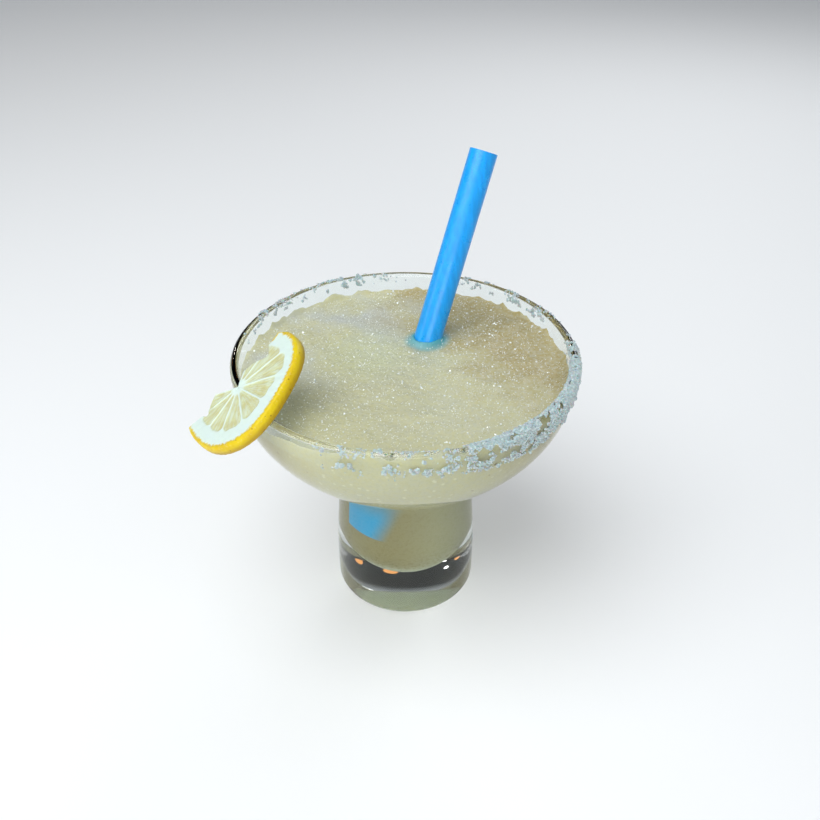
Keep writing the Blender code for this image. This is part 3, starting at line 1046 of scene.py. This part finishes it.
def flesh_look(angle, share):
    """Return how much a place is flesh and how its juice sacs rise there, each from 0 to 1."""
    wobble = 1.2 * noise.noise(Vector((angle * 0.05, share * 3.0, 7.0)))
    turn = (angle - SLICE_START + wobble) / SEGMENT_ANGLE
    middle = (turn % 1.0) * 2.0 - 1.0
    outer = 0.72 + 0.07 * bump(angle, 62.0, 22.0) - 0.07 * abs(middle) ** 4
    outer += 0.02 * noise.noise(Vector((angle * 0.12, 1.0, 2.0)))
    width = math.radians(SEGMENT_ANGLE) * share * SEGMENT_LENGTH
    gap = (1.0 - abs(middle)) * 0.5 * width
    beside = smooth_step(gap, 0.08, 0.5)
    within = 1.0 - smooth_step(share, outer - 0.02, outer + 0.015)
    inside = smooth_step(share, 0.1, 0.17) * within
    sac_place = Vector((angle * 0.34, share * 7.0 - abs(middle) * 1.2, math.floor(turn) * 3.7))
    sacs = 0.5 + 0.5 * noise.fractal(sac_place, 0.8, 2.2, 3)
    return beside * inside, min(max(sacs, 0.0), 1.0)


def slice_point(lemon, axes, turn, share_round):
    """Return the place on the slice for a grid place, with its flesh, zest and juice sacs."""
    across, along, face = axes
    share, depth = section_place(share_round)
    angle = slice_angle(turn, share)
    radius = share * slice_radius(lemon, angle)
    flesh, sacs = flesh_look(angle, share)
    zest = smooth_step(share, ZEST_SHARE - 0.08, ZEST_SHARE + 0.015)
    # The zest value rises towards the back face, where the material paints shade on the rind's
    # underside.
    zest *= 0.8 + 0.2 * smooth_step(depth, 0.15, 0.85)
    zest = max(zest, 0.8 * smooth_step(turn, 0.984, 0.994) * smooth_step(share, 0.72, 0.8))
    sunk = flesh * lemon.flesh_depth * (1.25 - 0.8 * sacs)
    pitted = 0.1 * MM * noise.noise(Vector((angle * 0.2, share * 9.0, depth * 3.0)))
    below = depth * lemon.thickness
    if share_round < FRONT_SHARE:
        below += sunk + pitted * (1.0 - flesh)
    elif share_round > 1.0 - FRONT_SHARE:
        below -= sunk + pitted * (1.0 - flesh)
    else:
        radius += 0.12 * MM * noise.noise(Vector((angle * 0.33, depth * 6.0, 3.0)))
    turned_by = math.radians(angle)
    flat = across * (radius * math.sin(turned_by)) + along * (radius * math.cos(turned_by))
    return SLICE_HUB + flat - face * below, (flesh, zest, sacs)


def lemon_material(lemon):
    """Return the slice's finish: waxy zest, dry pith and wet flesh, with painted shade on the rind
    towards the slice's underside.
    """
    paint = new_paint("lemon")
    flesh, zest, sacs = paint.attribute("look")
    pale = tuple(0.5 * (first + second) for first, second in zip(lemon.flesh, lemon.pith))
    pulp = paint.blend(paint.ramp(sacs, 0.3, 0.75), lemon.flesh, pale)
    blotches = paint.ramp(paint.noise(4.0), 0.42, 0.68, 0.0, 0.55)
    pulp = paint.blend(blotches, pulp, BLOTCH_TONE)
    mottles = paint.ramp(paint.noise(5.0), 0.35, 0.65, 0.0, 0.6)
    mottled = paint.blend(mottles, lemon.zest, MOTTLE_TONE)
    tint = paint.blend(flesh, lemon.pith, pulp)
    edge_noise = paint.maths("ADD", zest, paint.ramp(paint.noise(0.8), 0.3, 0.7, -0.2, 0.2))
    # Painted shade: the rind darker towards the slice's underside.
    shaded_under = paint.blend(paint.ramp(zest, 0.82, 1.0), mottled, UNDER_SHADE_TONE)
    tint = paint.blend(paint.ramp(edge_noise, 0.25, 0.7), tint, shaded_under)
    scars = paint.product(paint.dots(2.3, 0.08, 0.15, 0.8), zest)
    tint = paint.blend(scars, tint, SCAR_TONE)
    pores = paint.relief(paint.cells(0.9), 0.35, 0.12 * MM)
    fine = paint.relief(paint.noise(0.4), 0.25, 0.06 * MM, Normal=pores)
    return paint.finished(
        Base_Color=tint,
        Roughness=paint.ramp(flesh, 0.0, 1.0, 0.42, 0.16),
        Subsurface_Weight=0.3,
        Subsurface_Radius=(1.0, 0.95, 0.5),
        Subsurface_Scale=1.2 * MM,
        IOR=1.4,
        Normal=fine,
    )


def rim_slit_section(glass):
    """Return a ring a little larger than the rim of the glass, which cuts the slit."""
    heights = [glass.height - drop * MM for drop in (24.0, 12.0, 5.0, 1.4)]
    inside = [(inner_radius(glass, height) - RIM_GAP, height) for height in heights]
    outside = [(outer_radius(glass, height) + RIM_GAP, height) for height in heights[::-1]]
    over = glass.height + 0.3 * MM
    lip = [(glass.rim_radius - share * glass.rim_wall, over) for share in (0.8, 0.2)]
    return inside + lip + outside


class MARGARITA_OT_lemon(bpy.types.Operator):
    """Model the lemon slice on the rim"""

    bl_idname = "margarita.lemon"
    bl_label = "Lemon slice"

    def execute(self, context):
        """Bend a grid into the slice, close its cut edges and cut the slit."""
        lemon = context.scene.margarita_lemon
        glass = context.scene.margarita_glass
        deselect_all()
        bpy.ops.mesh.primitive_grid_add(
            x_subdivisions=SLICE_ACROSS, y_subdivisions=SLICE_ROUND, size=1.0
        )
        garnish = start_piece("lemon_garnish")
        axes = slice_axes()
        look = garnish.data.color_attributes.new("look", "FLOAT_COLOR", "POINT")
        for index, vert in enumerate(garnish.data.vertices):
            place, parts = slice_point(lemon, axes, vert.co.x + 0.5, vert.co.y + 0.5)
            vert.co = place
            look.data[index].color = (*parts, 1.0)
        close_cut_edges(garnish)
        cutter = turned("rim_slit", rim_slit_section(glass), RIM_STEPS)
        cut = garnish.modifiers.new("slit", "BOOLEAN")
        cut.operation = "DIFFERENCE"
        cut.object = cutter
        cut.solver = "EXACT"
        apply_all(garnish)
        bpy.data.objects.remove(cutter, do_unlink=True)
        finish_piece(garnish, lemon_material(lemon), "lemon", "lemon_slice", angle=60.0)
        return {"FINISHED"}


def close_cut_edges(garnish):
    """Merge the hub's doubled points and fill the two cut faces."""
    edit_all(garnish)
    bpy.ops.mesh.remove_doubles(threshold=MERGE_DISTANCE)
    bpy.ops.mesh.select_all(action="DESELECT")
    bpy.ops.mesh.select_non_manifold(
        extend=False, use_wire=False, use_boundary=True, use_multi_face=False,
        use_non_contiguous=False, use_verts=False,
    )
    bpy.ops.mesh.fill(use_beauty=True)
    leave_edit()


# Floor, lights and camera

FLOOR_GAP = 0.2 * MM
FLOOR_SIZE = 8.0
CAMERA_PLACE = Vector((1.677, -254.896, 255.047)) * MM
CAMERA_PITCH = 35.31
CAMERA_LENS = 39.82
SENSOR_WIDTH = 36.0
LIGHT_AIM = Vector((0.0, 0.0, 0.07))
COOL = (0.95, 0.98, 1.0)
WARM_LAMPS_ACROSS = (-0.62, 0.12, 0.5)
SKY_PALE = (0.9, 0.95, 1.0)
SKY_DARK = (0.012, 0.015, 0.017)
SKY_EDGES = (("Z", 0.16, 0.34), ("Z", 0.92, 0.75), ("Y", 0.0, 0.45))


def add_light(name, power, size, place, tint):
    """Add a round soft light that points at the middle of the glass."""
    deselect_all()
    bpy.ops.object.light_add(type="AREA", location=place)
    lamp = bpy.context.object
    lamp.name = name
    lamp.data.shape = "DISK"
    lamp.data.energy = power
    lamp.data.size = size
    lamp.data.color = tint
    lamp.rotation_euler = (LIGHT_AIM - Vector(place)).to_track_quat("-Z", "Y").to_euler()
    return lamp


def make_sky(stage):
    """Return a pale sky with a dark band behind the glass, which the glass mirrors."""
    sky = Paint(bpy.data.worlds.new("sky"), "Background", "Generated")
    edges = [sky.ramp(sky.coordinate(axis), start, end) for axis, start, end in SKY_EDGES]
    tint = sky.blend(sky.product(*edges), SKY_PALE, SKY_DARK)
    return sky.finished(Color=tint, Strength=stage.sky)


def add_lights(stage):
    """Add the soft lights, and the small lamps that sparkle in the glass."""
    add_light("key", stage.key, 0.9, (-0.28, -0.28, 0.85), COOL)
    add_light("fill", stage.fill, 0.6, (-0.05, -0.9, 0.32), (1.0, 0.99, 0.97))
    add_light("side", stage.side, 0.35, (-0.92, -0.23, 0.41), COOL)
    back = add_light("back", stage.back, 0.4, (0.35, 0.7, 0.6), (0.93, 0.97, 1.0))
    back.visible_transmission = False
    add_light("lamp", stage.lamps, 0.06, (-0.42, 0.95, 0.62), (1.0, 0.95, 0.88))
    for index, across in enumerate(WARM_LAMPS_ACROSS):
        place = (across, 0.95, 0.52)
        add_light(f"warm lamp {index}", 0.2 * stage.lamps, 0.13, place, (1.0, 0.42, 0.11))


class MARGARITA_OT_stage(bpy.types.Operator):
    """Set out the floor, the lights, the sky and the camera"""

    bl_idname = "margarita.stage"
    bl_label = "Stage"

    def execute(self, context):
        """Add the floor, the lights, the sky and the camera."""
        stage = context.scene.margarita_stage
        deselect_all()
        bpy.ops.mesh.primitive_plane_add(size=FLOOR_SIZE, location=(0.0, 0.0, -FLOOR_GAP))
        floor = start_piece("floor")
        matt = new_paint("floor").finished(Base_Color=stage.floor, Roughness=0.6)
        floor.data.materials.append(matt)
        add_lights(stage)
        context.scene.world = make_sky(stage)
        context.scene.view_settings.view_transform = "Standard"
        turn = (math.radians(90.0 - CAMERA_PITCH), 0.0, 0.0)
        bpy.ops.object.camera_add(location=CAMERA_PLACE, rotation=turn)
        camera = context.object
        camera.data.lens = CAMERA_LENS
        camera.data.sensor_width = SENSOR_WIDTH
        camera.data.clip_start = 0.01
        context.scene.camera = camera
        return {"FINISHED"}


class MARGARITA_PT_panel(bpy.types.Panel):
    """List the operators and their settings"""

    bl_idname = "MARGARITA_PT_panel"
    bl_label = "Margarita"
    bl_space_type = "VIEW_3D"
    bl_region_type = "UI"
    bl_category = "Margarita"

    def draw(self, context):
        """Show each operator with its settings."""
        for part in PARTS:
            box = self.layout.box()
            box.operator(f"margarita.{part}")
            settings = getattr(context.scene, f"margarita_{part}")
            for key in settings.__annotations__:
                box.prop(settings, key)


PARTS = {
    "glass": (GlassSettings, MARGARITA_OT_glass),
    "salt": (SaltSettings, MARGARITA_OT_salt),
    "drink": (DrinkSettings, MARGARITA_OT_drink),
    "straw": (StrawSettings, MARGARITA_OT_straw),
    "lemon": (LemonSettings, MARGARITA_OT_lemon),
    "stage": (StageSettings, MARGARITA_OT_stage),
}


def register():
    """Register the settings, the operators and the panel."""
    for part, (settings, operator) in PARTS.items():
        bpy.utils.register_class(settings)
        bpy.utils.register_class(operator)
        setattr(bpy.types.Scene, f"margarita_{part}", bpy.props.PointerProperty(type=settings))
    bpy.utils.register_class(MARGARITA_PT_panel)


def unregister():
    """Take back what register has added."""
    bpy.utils.unregister_class(MARGARITA_PT_panel)
    for part, (settings, operator) in reversed(PARTS.items()):
        delattr(bpy.types.Scene, f"margarita_{part}")
        bpy.utils.unregister_class(operator)
        bpy.utils.unregister_class(settings)


def main():
    """Build every piece."""
    register()
    for part in PARTS:
        getattr(bpy.ops.margarita, part)()


if __name__ == "__main__":
    main()
